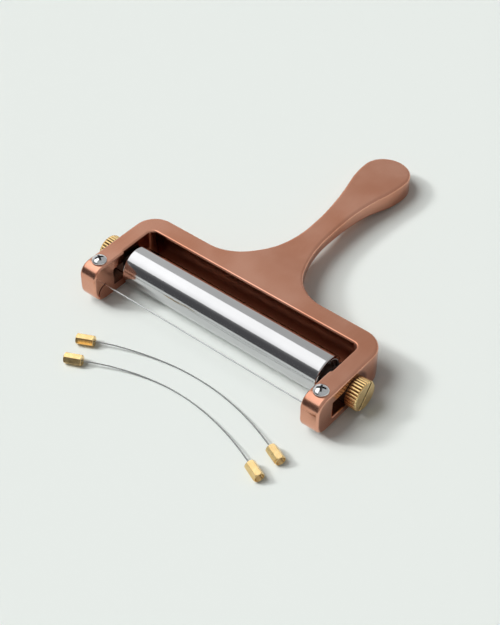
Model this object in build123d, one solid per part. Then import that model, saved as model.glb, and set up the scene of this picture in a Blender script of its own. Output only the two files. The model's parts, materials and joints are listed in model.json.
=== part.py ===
from build123d import *
import math
import os

# Adjustable wire cheese slicer: a cast T-shaped frame with a flat handle, a steel roller that slides
# in two slots to set the slice thickness, a taut cutting wire, and two spare wires beside it.
# All lengths are millimetres. The pieces are built in the tool's own frame: X along the roller,
# Y from the cutting wire to the handle, Z up from the flat underside of the arms, and Y = 0 at the
# two wire screws. The finished tool is then laid down as it rests on a table.

os.makedirs("parts", exist_ok=True)

# Shared working values
overrun = 2.0                     # how far a cutting shape runs past what it cuts
slide_fit = 0.1                   # gap on each side of a flat sliding fit
turn_fit = 0.05                   # radial gap of a shaft or thread that turns
seat_fit = 0.02                   # radial gap of pieces pressed together
small_bevel = 0.35                # bevel on slot mouths and shaft ends
match_gap = 0.02                  # how near an edge must lie to be the one that is meant
upright_share = 0.98              # an edge this much along Z counts as upright

# Cast frame: yoke
frame_height = 19.1
arm_width = 8.6
tip_step = 0.9                    # the arm is this much thicker, on its inside, round the wire screw
step_y = 12.9                     # where the thick part of the arm starts
step_radius = 1.2
tip_front_y = -8.6
tip_top_radius = 6.2
tip_bottom_radius = 6.6
bar_front_y = 31.75
bar_back_y = 41.5
corner_radius = 11.2
inner_corner_radius = 3.2
outer_round = 1.3
inner_round = 0.9

# Cast frame: handle
neck_half_width = 5.7
wing_radius = 22.0                # hollow curve from the yoke towards the neck
wing_turn = 60.0                  # degrees turned by that curve before it opens out
wing_neck_radius = 60.0           # and the wider curve in which it ends
neck_run = 4.5                    # parallel neck between the wings and the flare
flare_first_share = 0.675         # share of the flare's two radii that its hollow curve has
end_radius = 12.3
end_centre_y = 135.8

# Cast frame: top of the handle, seen from the side
dip_start_y = 43.5                # behind the yoke the top sinks towards the neck
dip_y = 66.0
dip_depth = 1.8
swell_y = 127.0                   # and rises again to a low crest near the end
swell_rise = 0.9

# Cast frame: underside, seen from the side
rise_start_y = 15.0               # the underside starts to rise towards the handle
rise_end_y = 60.0
rise_first_share = 0.75           # share of the rise taken by the first, upward curve
neck_thickness = 7.5              # below the level of the yoke's top
heel_thickness = 9.9
heel_y = 134.0
heel_radius = 90.0
heel_lead_radius = 120.0
heel_flat_depth = 0.15            # small flat on which the handle end rests

# Roller and its axle
roller_diameter = 19.0
roller_length = 112.4
roller_arm_gap = 4.0              # from the roller's end to the inside of the arm
roller_wall = 2.0
roller_edge_round = 0.8
roller_float_x = -0.9             # the roller has drifted a little along its axle
roller_y = 16.8
roller_z = 9.0
axle_diameter = 6.0
bush_length = 8.0
bush_recess = 1.3                 # bush face lies inside the end of the tube
bush_hub_diameter = 9.0
bush_hub_gap = 1.35
bush_lip_width = 1.6
bush_lip_depth = 0.8

# Slot in each arm, and the guide block that slides in it
slot_height = 9.2
slot_front_y = 3.7
slot_recess_front_y = 1.6
slot_recess_depth = 1.4
slot_corner_radius = 0.6
block_length = 9.2
block_flange_length = 14.0
block_flange_height = 13.0
block_flange_thickness = 1.0
block_flange_corner = 3.2
block_outer_gap = 0.4
axle_seat_depth = 1.0

# Thumb screws
thumb_diameter = 14.6
thumb_head_length = 5.8
thumb_chamfer = 0.6
thumb_ridges = 36
thumb_ridge_depth = 0.5
thumb_ridge_shares = (0.4, 0.6)   # where the crest of a ridge starts and ends, along its pitch
thumb_arm_gap = 0.2
coin_slot_width = 1.0
coin_slot_depth = 1.3
coin_slot_angle = 54.0
washer_diameter = 11.4
washer_thickness = 1.0
thumb_thread_diameter = 4.0
thumb_thread_reach = 7.0          # thread length inside the axle
axle_tap_depth = 10.0

# Wire tension: screw, hexagon barrel, ferrule and cutting wire
wire_screw_inset = 4.45           # from the inner face of the tip to the screw
screw_thread_diameter = 3.5
screw_head_diameter = 7.1
screw_head_height = 2.4
screw_head_rim = 0.8
screw_length = 6.0
screw_cross_length = 4.2
screw_cross_width = 0.95
screw_cross_depth = 1.5
screw_cross_core = 2.6            # width of the cross recess's tapered middle
screw_cross_angle = 28.0
barrel_flats = 4.8
barrel_length = 8.4
barrel_end_wall = 1.2
barrel_chamfer = 0.45
barrel_wire_hole = 1.3
barrel_top_gap = 0.1
screw_seat_wall = 1.3             # casting left under the screw head
ferrule_diameter = 2.0
ferrule_length = 1.4
wire_diameter = 0.6
wire_y = -2.1
wire_drop = 0.9                   # from the barrel down to the level of the taut wire
wire_drop_radius = 0.8
wire_exit_radius = 1.5
wire_bend_run = 2.15              # from the screw to the bend into the wire hole
wire_hole_diameter = 1.5
wire_slit_width = 0.7
wire_slit_radius = 4.0
wire_slit_front_y = -6.3
bay_front_y = -6.7
bay_wall = 2.1                    # thickness of the arm wall beside the wire bay
bay_roof_gap = 0.5
bay_corner_radius = 1.2

# Spare wires: route of each from ferrule to ferrule, in millimetres in the finished frame. Their
# barrels lie on a flat, and the bowed middle of each wire tips down until it touches the table.
bend_share = 0.45                 # part of a run that a bend may take up
spare_wire_1_route = [
    (-45.7, -96.3, 2.4), (-38.8, -93.1, 2.4), (-29.1, -89.3, 1.6), (-18.5, -86.1, 0.9), (-7.1, -83.8, 0.5),
    (4.5, -82.9, 0.35), (16.2, -83.2, 0.5), (27.8, -84.9, 0.9), (39.0, -87.7, 1.6), (50.0, -91.5, 2.4),
    (57.1, -94.3, 2.4),
]
spare_wire_2_route = [
    (-42.1, -107.8, 2.4), (-35.3, -104.7, 2.4), (-25.9, -100.5, 1.6), (-16.0, -97.2, 0.9), (-5.2, -95.0, 0.5),
    (5.8, -94.2, 0.4), (17.1, -94.9, 0.5), (28.3, -96.8, 0.9), (38.9, -99.8, 1.6), (48.8, -103.4, 2.4),
    (55.4, -106.1, 2.4),
]

# Worked-out places
end_y = end_centre_y + end_radius
neck_under_z = frame_height - neck_thickness
heel_under_z = frame_height - heel_thickness
neck_turn = 90 - wing_turn        # degrees turned by the wider curve
wing_end_y = bar_back_y + wing_radius * (1 - math.cos(math.radians(wing_turn)))
wing_end_y += wing_neck_radius * math.sin(math.radians(neck_turn))
flare_start_y = wing_end_y + neck_run
arm_inner_x = roller_length / 2 + roller_arm_gap
arm_outer_x = arm_inner_x + arm_width
tip_inner_x = arm_inner_x - tip_step
wire_screw_x = tip_inner_x + wire_screw_inset
wire_bend_x = wire_screw_x - wire_bend_run
block_inner_x = tip_inner_x - slide_fit - block_flange_thickness
axle_end_x = block_inner_x + axle_seat_depth
slot_rear_y = roller_y + block_length / 2 + slide_fit
barrel_top_z = frame_height - screw_seat_wall - barrel_top_gap
barrel_bottom_z = barrel_top_z - barrel_length
ferrule_bottom_z = barrel_bottom_z + barrel_end_wall
wire_z = barrel_bottom_z - wire_drop
roller_travel = roller_y - block_length / 2 - slot_front_y - slide_fit


def rest_tilt():
    """Angle, in radians, by which the tool leans back until roller and heel touch the table."""
    run = heel_y - roller_y
    fall = roller_z - heel_under_z - heel_radius
    reach = roller_diameter / 2 - heel_radius + heel_flat_depth
    return math.asin(reach / math.hypot(run, fall)) - math.atan2(fall, run)


tilt = rest_tilt()
table_drop = roller_z * math.cos(tilt) - roller_y * math.sin(tilt) - roller_diameter / 2


def both_sides(edges):
    """Close a half outline, drawn for x > 0, with its mirror image."""
    half = Curve() + edges
    return make_face(Curve() + [half, mirror(half, about=Plane.YZ)])


def two_curves(run, change):
    """Turn in degrees, and sum of the radii, of two opposite arcs that step sideways by change over run."""
    turn = 2 * math.atan2(change, run)
    return math.degrees(turn), run / math.sin(turn)


def plan_outline():
    """Plan of the casting: yoke, open at the front, and handle."""
    step_angle = math.degrees(math.acos(1 - tip_step / (2 * step_radius)))
    flare, flare_radii = two_curves(end_centre_y - flare_start_y, end_radius - neck_half_width)
    wing_x = neck_half_width + wing_neck_radius * (1 - math.cos(math.radians(neck_turn)))
    wing_x += wing_radius * math.sin(math.radians(wing_turn))

    edges = [Line((0, bar_front_y), (arm_inner_x - inner_corner_radius, bar_front_y))]
    edges.append(JernArc(edges[-1] @ 1, (1, 0), inner_corner_radius, -90))
    edges.append(Line(edges[-1] @ 1, (arm_inner_x, step_y)))
    edges.append(JernArc(edges[-1] @ 1, (0, -1), step_radius, -step_angle))
    edges.append(JernArc(edges[-1] @ 1, edges[-1] % 1, step_radius, step_angle))
    edges.append(Line(edges[-1] @ 1, (tip_inner_x, tip_front_y - overrun)))
    edges.append(Line(edges[-1] @ 1, (arm_outer_x, tip_front_y - overrun)))
    edges.append(Line(edges[-1] @ 1, (arm_outer_x, bar_back_y - corner_radius)))
    edges.append(JernArc(edges[-1] @ 1, (0, 1), corner_radius, 90))
    edges.append(Line(edges[-1] @ 1, (wing_x, bar_back_y)))
    edges.append(JernArc(edges[-1] @ 1, (-1, 0), wing_radius, -wing_turn))
    edges.append(JernArc(edges[-1] @ 1, edges[-1] % 1, wing_neck_radius, -neck_turn))
    edges.append(Line(edges[-1] @ 1, (neck_half_width, flare_start_y)))
    edges.append(JernArc(edges[-1] @ 1, (0, 1), flare_radii * flare_first_share, -flare))
    edges.append(JernArc(edges[-1] @ 1, edges[-1] % 1, flare_radii * (1 - flare_first_share), flare))
    edges.append(JernArc(edges[-1] @ 1, (0, 1), end_radius, 90))
    return both_sides(edges)


def side_outline():
    """Side view of the casting: bowed top, rounded tip, underside rising into the handle."""
    rise, rise_radii = two_curves(rise_end_y - rise_start_y, neck_under_z)
    dip, dip_radii = two_curves(dip_y - dip_start_y, dip_depth)
    swell, swell_radii = two_curves(swell_y - dip_y, dip_depth + swell_rise)
    heel_radii = heel_radius + heel_lead_radius
    heel_dip = math.acos(1 - (neck_under_z - heel_under_z) / heel_radii)
    heel_start_y = heel_y - heel_radii * math.sin(heel_dip)
    past_end_y = end_y + overrun
    heel_rise = math.asin((past_end_y - heel_y) / heel_radius)
    crest_fall = math.asin((past_end_y - swell_y) / (swell_radii / 2))
    crest_drop = swell_radii / 2 * (1 - math.cos(crest_fall))

    edges = [Line((tip_front_y + tip_bottom_radius, 0), (rise_start_y, 0))]
    edges.append(JernArc(edges[-1] @ 1, (1, 0), rise_radii * rise_first_share, rise))
    edges.append(JernArc(edges[-1] @ 1, edges[-1] % 1, rise_radii * (1 - rise_first_share), -rise))
    edges.append(Line(edges[-1] @ 1, (heel_start_y, neck_under_z)))
    edges.append(JernArc(edges[-1] @ 1, (1, 0), heel_lead_radius, -math.degrees(heel_dip)))
    edges.append(JernArc(edges[-1] @ 1, edges[-1] % 1, heel_radius, math.degrees(heel_dip + heel_rise)))
    edges.append(Line(edges[-1] @ 1, (past_end_y, frame_height + swell_rise - crest_drop)))
    crest_heading = (-math.cos(crest_fall), math.sin(crest_fall))
    edges.append(JernArc(edges[-1] @ 1, crest_heading, swell_radii / 2, math.degrees(crest_fall) + swell))
    edges.append(JernArc(edges[-1] @ 1, edges[-1] % 1, swell_radii / 2, -swell))
    edges.append(JernArc(edges[-1] @ 1, (-1, 0), dip_radii / 2, -dip))
    edges.append(JernArc(edges[-1] @ 1, edges[-1] % 1, dip_radii / 2, dip))
    edges.append(Line(edges[-1] @ 1, (tip_front_y + tip_top_radius, frame_height)))
    edges.append(JernArc(edges[-1] @ 1, (-1, 0), tip_top_radius, 90))
    edges.append(Line(edges[-1] @ 1, (tip_front_y, tip_bottom_radius)))
    edges.append(JernArc(edges[-1] @ 1, (0, -1), tip_bottom_radius, 90))
    return make_face(Curve() + edges)


def cast_body():
    """Casting with its rounded edges, before the slots and pockets are cut."""
    plan = plan_outline()
    body = extrude(plan, frame_height + swell_rise + overrun)
    body &= extrude(Plane.YZ * side_outline(), arm_outer_x + overrun, both=True)
    boundary = Wire(plan.edges())
    outer, inner = [], []
    for edge in body.edges():
        middle = edge @ 0.5
        upright = abs((edge % 0.5).Z) > upright_share
        at_tip = abs(middle.Y - tip_front_y) < match_gap
        on_wall = boundary.distance_to(Vertex(middle.X, middle.Y, 0)) < match_gap
        if not on_wall or (upright and not at_tip):
            continue
        is_inner = abs(middle.X) < arm_inner_x + match_gap and middle.Y < bar_front_y + match_gap
        (inner if is_inner else outer).append(edge)
    body = fillet(outer, outer_round)
    near = [e for e in body.edges() if any(same_edge(e, i) for i in inner)]
    return fillet(near, inner_round)


def same_edge(first, second):
    """True where two edges run over the same three points."""
    return all((first @ s - second @ s).length < match_gap for s in (0, 0.5, 1)) or all(
        (first @ s - second @ (1 - s)).length < match_gap for s in (0, 0.5, 1)
    )


def arm_slot():
    """Cutter for the right arm: slot with rounded corners and a wider recess outside."""
    def cutter(front_y, start_x, end_x):
        length = slot_rear_y - front_y
        face = Pos(front_y + length / 2, roller_z) * RectangleRounded(length, slot_height, slot_corner_radius)
        return Pos(start_x, 0, 0) * extrude(Plane.YZ * face, end_x - start_x)

    through = cutter(slot_front_y, tip_inner_x - overrun, arm_outer_x + overrun)
    return through + cutter(slot_recess_front_y, arm_outer_x - slot_recess_depth, arm_outer_x + overrun)


def hexagon(flats, length):
    """Hexagonal prism on Z with two of its flats facing along X."""
    return extrude(RegularPolygon(flats / 2, 6, major_radius=False, rotation=30), length)


def slit_path_face():
    """Hooked slit from the wire hole forward and down, in the YZ plane."""
    run = [Line((wire_y, wire_z), (wire_slit_front_y + wire_slit_radius, wire_z))]
    run.append(JernArc(run[-1] @ 1, (-1, 0), wire_slit_radius, 90))
    run.append(Line(run[-1] @ 1, (wire_slit_front_y, -overrun)))
    return trace(Curve() + run, wire_slit_width)


def wire_pocket():
    """Cutter for the right tip: barrel pocket, wire bay below it, wire hole, slit and screw hole."""
    pocket = Pos(wire_screw_x, 0, -overrun) * hexagon(
        barrel_flats + 2 * slide_fit, frame_height - screw_seat_wall + overrun
    )
    bay_inner_x = tip_inner_x + bay_wall
    bay_width = 2 * (wire_screw_x - bay_inner_x)
    bay_length = -bay_front_y + wire_diameter
    bay_height = wire_z + wire_diameter / 2 + bay_roof_gap + overrun
    bay = Pos(wire_screw_x, bay_front_y + bay_length / 2, -overrun) * extrude(
        RectangleRounded(bay_width, bay_length, bay_corner_radius), bay_height
    )
    wall_cut = tip_inner_x - overrun
    hole = Plane.YZ.offset(wall_cut) * Pos(wire_y, wire_z) * Circle(wire_hole_diameter / 2)
    hole = extrude(hole, bay_wall + 2 * overrun)
    slit = extrude(Plane.YZ.offset(wall_cut) * slit_path_face(), bay_wall + 2 * overrun)
    screw_hole = Pos(wire_screw_x, 0, barrel_top_z) * extrude(
        Circle(screw_thread_diameter / 2 + turn_fit), screw_seat_wall + overrun
    )
    return pocket + bay + hole + slit + screw_hole


def make_frame():
    body = cast_body()
    slot = arm_slot()
    body -= slot + mirror(slot, about=Plane.YZ)
    mouth = [
        e for e in body.edges()
        if abs(abs(e.center().X) - arm_outer_x) < match_gap
        and slot_recess_front_y - match_gap < e.center().Y < slot_rear_y + match_gap
        and abs(e.center().Z - roller_z) < slot_height / 2 + match_gap
    ]
    body = chamfer(mouth, small_bevel)
    pocket = wire_pocket()
    body -= pocket + mirror(pocket, about=Plane.YZ)
    table = Box(4 * end_radius, 2 * end_y, heel_radius, align=(Align.CENTER, Align.MIN, Align.MAX))
    leaning_table = Rot(math.degrees(tilt), 0, 0) * Pos(0, bar_back_y, table_drop) * table
    return body - leaning_table


def make_roller_tube():
    outer = roller_diameter / 2
    tube = Cylinder(outer, roller_length) - Cylinder(outer - roller_wall, roller_length + overrun)
    return on_roller_axis(fillet(tube.edges().filter_by(GeomType.CIRCLE), roller_edge_round))


def on_roller_axis(shape):
    """Turn a shape built on Z so that it lies on the roller's axis, where the roller has drifted."""
    return Pos(roller_float_x, roller_y, roller_z) * Rot(0, 90, 0) * shape


def make_roller_bush():
    """Right-hand end bush: disc inside the tube with a hub towards the arm."""
    disc_radius = roller_diameter / 2 - roller_wall - seat_fit
    start = roller_length / 2 - bush_recess - bush_length
    hub_end = block_inner_x - bush_hub_gap
    hub_radius = bush_hub_diameter / 2
    disc = Pos(0, 0, start) * extrude(Circle(disc_radius), bush_length)
    ring = Circle(disc_radius - bush_lip_width) - Circle(hub_radius)
    disc -= Pos(0, 0, start + bush_length - bush_lip_depth) * extrude(ring, bush_lip_depth + overrun)
    hub = Pos(0, 0, start) * extrude(Circle(hub_radius), hub_end - start)
    bore = extrude(Circle(axle_diameter / 2 + turn_fit), hub_end + overrun)
    return disc + hub - bore


def make_axle():
    rod = Cylinder(axle_diameter / 2, 2 * axle_end_x)
    rod = chamfer(rod.edges().filter_by(GeomType.CIRCLE), small_bevel)
    tap = Circle(thumb_thread_diameter / 2 + turn_fit)
    for side in (1, -1):
        rod -= Pos(0, 0, side * axle_end_x) * extrude(tap, -side * axle_tap_depth)
    return Pos(0, roller_y, roller_z) * Rot(0, 90, 0) * rod


def outward(x, shape):
    """Place a shape built on Z on the roller's axis at x, with +Z pointing out of the right arm."""
    return Plane((x, roller_y, roller_z), x_dir=(0, 1, 0), z_dir=(1, 0, 0)) * shape


def make_slide_block():
    """Right-hand guide block: square body in the slot, flange against the inside of the arm."""
    body_length = arm_outer_x - block_outer_gap - block_inner_x
    body_height = slot_height - 2 * slide_fit
    flange_face = RectangleRounded(block_flange_length, block_flange_height, block_flange_corner)
    flange = extrude(flange_face, block_flange_thickness)
    body = extrude(RectangleRounded(block_length, body_height, slot_corner_radius), body_length)
    bore = extrude(Circle(thumb_thread_diameter / 2 + turn_fit), body_length)
    seat = extrude(Circle(axle_diameter / 2 + seat_fit), axle_seat_depth)
    return outward(block_inner_x, flange + body - bore - seat)


def make_thumb_washer():
    ring = Circle(washer_diameter / 2) - Circle(thumb_thread_diameter / 2 + slide_fit)
    return outward(arm_outer_x, extrude(ring, washer_thickness))


def ridged_outline():
    """Cross-section of the straight-ridged thumb screw head."""
    tip_radius = thumb_diameter / 2
    root_radius = tip_radius - thumb_ridge_depth
    points = []
    for ridge in range(thumb_ridges):
        for radius, share in ((root_radius, 0), *((tip_radius, s) for s in thumb_ridge_shares)):
            angle = 2 * math.pi * (ridge + share) / thumb_ridges
            points.append((radius * math.cos(angle), radius * math.sin(angle)))
    return make_face(Polyline(*points, close=True))


def make_thumb_screw():
    """Right-hand thumb screw: ridged head with a coin slot, recess for the washer, threaded shank."""
    start = thumb_arm_gap
    end = start + thumb_head_length
    rim = thumb_diameter / 2
    head = Pos(0, 0, start) * extrude(ridged_outline(), thumb_head_length)
    blank = Pos(0, 0, start) * extrude(Circle(rim), thumb_head_length)
    ends = blank.edges().filter_by(GeomType.CIRCLE).sort_by(Axis.Z)
    blank = chamfer(ends[-1], thumb_chamfer)
    head &= blank
    recess_radius = washer_diameter / 2 + slide_fit
    head -= Pos(0, 0, start) * extrude(Circle(recess_radius), washer_thickness - start)
    coin_slot = Pos(0, 0, end - coin_slot_depth) * Rot(0, 0, coin_slot_angle) * extrude(
        Rectangle(2 * thumb_diameter, coin_slot_width), coin_slot_depth + overrun
    )
    head -= coin_slot
    shank_length = arm_outer_x - axle_end_x + thumb_thread_reach + washer_thickness
    shank = Pos(0, 0, washer_thickness) * extrude(Circle(thumb_thread_diameter / 2), -shank_length)
    shank = chamfer(shank.edges().sort_by(Axis.Z)[0], small_bevel)
    return outward(arm_outer_x, head + shank)


def make_wire_screw():
    """Right-hand cross-head screw that pulls the barrel up."""
    radius = screw_head_diameter / 2
    rise = screw_head_height - screw_head_rim
    dome_radius = (radius**2 + rise**2) / (2 * rise)
    profile = [
        Line((0, 0), (radius, 0)),
        Line((radius, 0), (radius, screw_head_rim)),
        RadiusArc((radius, screw_head_rim), (0, screw_head_height), -dome_radius),
        Line((0, screw_head_height), (0, 0)),
    ]
    head = revolve(Plane.XZ * make_face(Curve() + profile), Axis.Z)
    bar = Rectangle(screw_cross_length, screw_cross_width)
    cross = bar + Rot(0, 0, 90) * bar
    cut = Pos(0, 0, screw_head_height + overrun) * Rot(0, 0, screw_cross_angle) * extrude(
        cross, -(screw_cross_depth + overrun)
    )
    centre = Pos(0, 0, screw_head_height - screw_cross_depth) * Cone(
        screw_cross_width / 2, screw_cross_core / 2, screw_cross_depth,
        align=(Align.CENTER, Align.CENTER, Align.MIN)
    )
    shank = extrude(Circle(screw_thread_diameter / 2), -screw_length)
    shank = chamfer(shank.edges().sort_by(Axis.Z)[0], small_bevel)
    return Pos(wire_screw_x, 0, frame_height) * (head - cut - centre + shank)


def make_barrel():
    """Hexagon barrel on Z: wire end at 0, threaded mouth at the top."""
    corner_radius_of_blank = barrel_flats / math.sqrt(3)
    upward = (Align.CENTER, Align.CENTER, Align.MIN)
    blank = Cylinder(corner_radius_of_blank, barrel_length, align=upward)
    blank = chamfer(blank.edges().filter_by(GeomType.CIRCLE), barrel_chamfer)
    barrel = hexagon(barrel_flats, barrel_length) & blank
    bore_radius = screw_thread_diameter / 2 + turn_fit
    barrel -= Pos(0, 0, barrel_end_wall) * extrude(Circle(bore_radius), barrel_length)
    barrel -= extrude(Circle(barrel_wire_hole / 2), barrel_end_wall)
    return barrel


def make_ferrule():
    """Crimped ferrule on Z, standing on the barrel's end wall."""
    ferrule = Pos(0, 0, barrel_end_wall) * extrude(Circle(ferrule_diameter / 2), ferrule_length)
    return fillet(ferrule.edges().filter_by(GeomType.CIRCLE).sort_by(Axis.Z)[-1], small_bevel)


def make_cutting_wire():
    """Taut wire from one ferrule to the other, bent down out of each barrel."""
    half = [
        (wire_screw_x, 0, ferrule_bottom_z),
        (wire_screw_x, 0, wire_z),
        (wire_bend_x, wire_y, wire_z),
    ]
    points = half + [(-x, y, z) for x, y, z in reversed(half)]
    bends = [wire_drop_radius, wire_exit_radius, wire_exit_radius, wire_drop_radius]
    path = FilletPolyline(*points, radius=bends)
    start = Plane(path @ 0, z_dir=path % 0)
    return sweep(start * Circle(wire_diameter / 2), path=path)


def corner_radii(route):
    """Radius of the bend at each inner point of a free wire's route, as large as its two runs allow."""
    points = [Vector(*p) for p in route]
    radii = []
    for before, here, after in zip(points, points[1:], points[2:]):
        first = here - before
        second = after - here
        turn = math.radians(first.get_angle(second))
        radii.append(bend_share * min(first.length, second.length) / math.tan(turn / 2))
    return radii


def make_free_wire(route):
    radii = corner_radii(route)
    path = FilletPolyline(*route, radius=radii)
    start = Plane(path @ 0, z_dir=path % 0)
    wire = sweep(start * Circle(wire_diameter / 2), path=path)
    expected = math.pi * wire_diameter**2 / 4 * path.length
    print("free wire: length", round(path.length, 1), "volume share", round(wire.volume / expected, 4))
    print("  bend radii", [round(r, 1) for r in radii])
    return wire


def route_end(route, last):
    """Plane of a spare barrel's wire end, with Z pointing away from the wire and X straight up."""
    points = [Vector(*p) for p in (reversed(route) if last else route)]
    away = (points[0] - points[1]).normalized()
    face = points[0] - away * barrel_end_wall
    return Plane(face, x_dir=(0, 0, 1), z_dir=away)


def mirrored(shape):
    return mirror(shape, about=Plane.YZ)


def in_barrel(shape):
    return Pos(wire_screw_x, 0, barrel_bottom_z) * shape


frame = make_frame()
lean_back = Rot(-math.degrees(tilt), 0, 0)
leaning = (lean_back * frame).bounding_box()
middle_y = (leaning.min.Y + leaning.max.Y) / 2
rest = Pos(0, -middle_y, -table_drop) * lean_back

right_pieces = {
    "roller_bush": on_roller_axis(make_roller_bush()),
    "slide_block": make_slide_block(),
    "thumb_washer": make_thumb_washer(),
    "thumb_screw": make_thumb_screw(),
    "wire_screw": make_wire_screw(),
    "wire_barrel": in_barrel(make_barrel()),
    "wire_ferrule": in_barrel(make_ferrule()),
}
left_roller_bush = on_roller_axis(Rot(0, 180, 0) * make_roller_bush())

pieces = {
    "frame": frame,
    "roller_tube": make_roller_tube(),
    "axle": make_axle(),
    "cutting_wire": make_cutting_wire(),
}
for name, shape in right_pieces.items():
    pieces[name + "_right"] = shape
    pieces[name + "_left"] = left_roller_bush if name == "roller_bush" else mirrored(shape)
pieces = {name: rest * shape for name, shape in pieces.items()}

for number, route in ((1, spare_wire_1_route), (2, spare_wire_2_route)):
    pieces[f"spare_wire_{number}"] = make_free_wire(route)
    for letter, last in (("a", False), ("b", True)):
        pieces[f"spare_barrel_{number}{letter}"] = route_end(route, last) * make_barrel()
        pieces[f"spare_ferrule_{number}{letter}"] = route_end(route, last) * make_ferrule()

for name, shape in pieces.items():
    export_step(shape, f"parts/{name}.step")

print("frame bottom", round((rest * frame).bounding_box().min.Z, 4))
print("tilt", round(math.degrees(tilt), 3), "middle_y", round(middle_y, 3))
print("roller travel", round(roller_travel, 2))
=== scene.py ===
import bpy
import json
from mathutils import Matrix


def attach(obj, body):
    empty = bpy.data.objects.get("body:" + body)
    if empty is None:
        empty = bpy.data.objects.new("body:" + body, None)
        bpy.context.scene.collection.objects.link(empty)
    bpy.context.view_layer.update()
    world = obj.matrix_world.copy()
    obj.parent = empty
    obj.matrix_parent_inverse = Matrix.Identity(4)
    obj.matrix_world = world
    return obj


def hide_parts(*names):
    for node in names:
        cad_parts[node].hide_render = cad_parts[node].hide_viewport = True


bl_info = {
    "name": "Wire cheese slicer",
    "version": (1, 0, 0),
    "blender": (4, 5, 0),
    "location": "3D View > Sidebar > Slicer",
    "description": "Dresses the packed cheese slicer with its finished pieces, materials and a studio",
    "category": "Object",
}

import json
import math

import bmesh
import bpy
from bpy.props import FloatProperty, FloatVectorProperty, IntProperty, PointerProperty
from mathutils import Matrix, Vector

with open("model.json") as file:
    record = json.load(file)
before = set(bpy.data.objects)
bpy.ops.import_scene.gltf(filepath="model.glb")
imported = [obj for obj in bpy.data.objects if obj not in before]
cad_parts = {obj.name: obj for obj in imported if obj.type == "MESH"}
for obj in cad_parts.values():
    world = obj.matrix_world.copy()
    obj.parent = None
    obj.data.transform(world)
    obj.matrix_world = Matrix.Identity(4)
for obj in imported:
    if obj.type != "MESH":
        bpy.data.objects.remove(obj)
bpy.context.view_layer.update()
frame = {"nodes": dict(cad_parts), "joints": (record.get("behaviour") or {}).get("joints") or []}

MM = 0.001                        # a millimetre in metres
MERGE = 0.0005                    # millimetres within which two points are one
SHARP = math.radians(32)          # edges sharper than this are eased or shaded as edges
PAST = 1.0                        # millimetres that a cutter reaches past the face it cuts

# Places of the pieces in the tool's own frame, in millimetres, as the drawing gives them
ROLLER_Y, ROLLER_Z = 16.8, 9.0    # the roller's axis
ROLLER_FLOAT = -0.9               # the roller lies a little to the left on its axle
ARM_OUTER_X = 68.8
SCREW_X, SCREW_SEAT_Z = 63.75, 19.1
BARREL_TOP_Z = 17.7

# Radius and pitch of the two threads, and the small fits round them, in millimetres
THUMB_SHANK, THUMB_PITCH = 2.0, 0.7
WIRE_SHANK, WIRE_PITCH = 1.75, 0.6
THUMB_STAND_OFF = 0.2             # gap between the thumb screw's head and the arm
WASHER_THICKNESS = 1.0
BARREL_WALL = 1.2                 # closed end of a barrel, which the ferrule pulls against

# Turns of the coin slots and of the cross recesses in the photograph
SLOT_TURN = math.radians(54)
CROSS_TURN = math.radians(28)

# Camera: where it stands in metres, the way behind it and to its right, and its lens in millimetres
CAMERA_PLACE = (0.2799, -0.34311, 0.4515)
CAMERA_BACK = (0.4583, -0.49722, 0.73676)
CAMERA_RIGHT = (0.7714, 0.63418, -0.05185)
CAMERA_SENSOR, CAMERA_LENS = 36.0, 76.87

# Lamps: place and size of the softbox in metres, and where the slanted lights come from and how wide
SOFTBOX_PLACE, SOFTBOX_SIZE = (-0.78, -0.17, 1.0), (1.15, 1.35)
KEY_FROM, KEY_SPREAD = (-0.62, -0.30, 1.0), math.radians(38)
LOW_KEY_FROM, LOW_KEY_SPREAD = (-1.18, -0.62, 1.0), math.radians(10)

# Route of each spare wire from ferrule to ferrule, in metres
SPARE_ROUTES = {
    1: [(-0.0457, -0.0963, 0.0024), (-0.0388, -0.0931, 0.0024), (-0.0291, -0.0893, 0.0016),
        (-0.0185, -0.0861, 0.0009), (-0.0071, -0.0838, 0.0005), (0.0045, -0.0829, 0.00035),
        (0.0162, -0.0832, 0.0005), (0.0278, -0.0849, 0.0009), (0.0390, -0.0877, 0.0016),
        (0.0500, -0.0915, 0.0024), (0.0571, -0.0943, 0.0024)],
    2: [(-0.0421, -0.1078, 0.0024), (-0.0353, -0.1047, 0.0024), (-0.0259, -0.1005, 0.0016),
        (-0.0160, -0.0972, 0.0009), (-0.0052, -0.0950, 0.0005), (0.0058, -0.0942, 0.0004),
        (0.0171, -0.0949, 0.0005), (0.0283, -0.0968, 0.0009), (0.0389, -0.0998, 0.0016),
        (0.0488, -0.1034, 0.0024), (0.0554, -0.1061, 0.0024)],
}


def joint_of(name):
    return next(joint for joint in frame["joints"] if joint["name"] == name)


def tool_axes():
    """Turn from the tool's own frame, which leans back on roller and heel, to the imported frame."""
    across = Vector((1, 0, 0))
    along = -Vector(joint_of("roller_slide")["axis"])
    return Matrix((across, along, across.cross(along))).transposed()


TURN = tool_axes()
ORIGIN = Vector(joint_of("roller_spin")["pos_m"]) - TURN @ Vector((0, ROLLER_Y, ROLLER_Z)) * MM
TOOL = Matrix.Translation(ORIGIN) @ TURN.to_4x4() @ Matrix.Scale(MM, 4)
SIDES = (("right", Matrix.Identity(4)), ("left", Matrix.Scale(-1, 4, (1, 0, 0))))

# Turns a thumb screw, made standing on Z, to point out of the right arm on the roller's axis
OUT_OF_ARM = Matrix(((0, 0, 1, ARM_OUTER_X), (1, 0, 0, ROLLER_Y), (0, 1, 0, ROLLER_Z), (0, 0, 0, 1)))


def millimetres(value):
    return value / MM


def length(name, description, default):
    """A length setting, given in millimetres and kept in metres."""
    return FloatProperty(name=name, description=description, default=default * MM, min=0,
                         unit="LENGTH", subtype="DISTANCE", precision=5)


def colour(name, description, rgb):
    return FloatVectorProperty(name=name, description=description, default=rgb, size=3,
                               min=0, max=1, subtype="COLOR")


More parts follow.
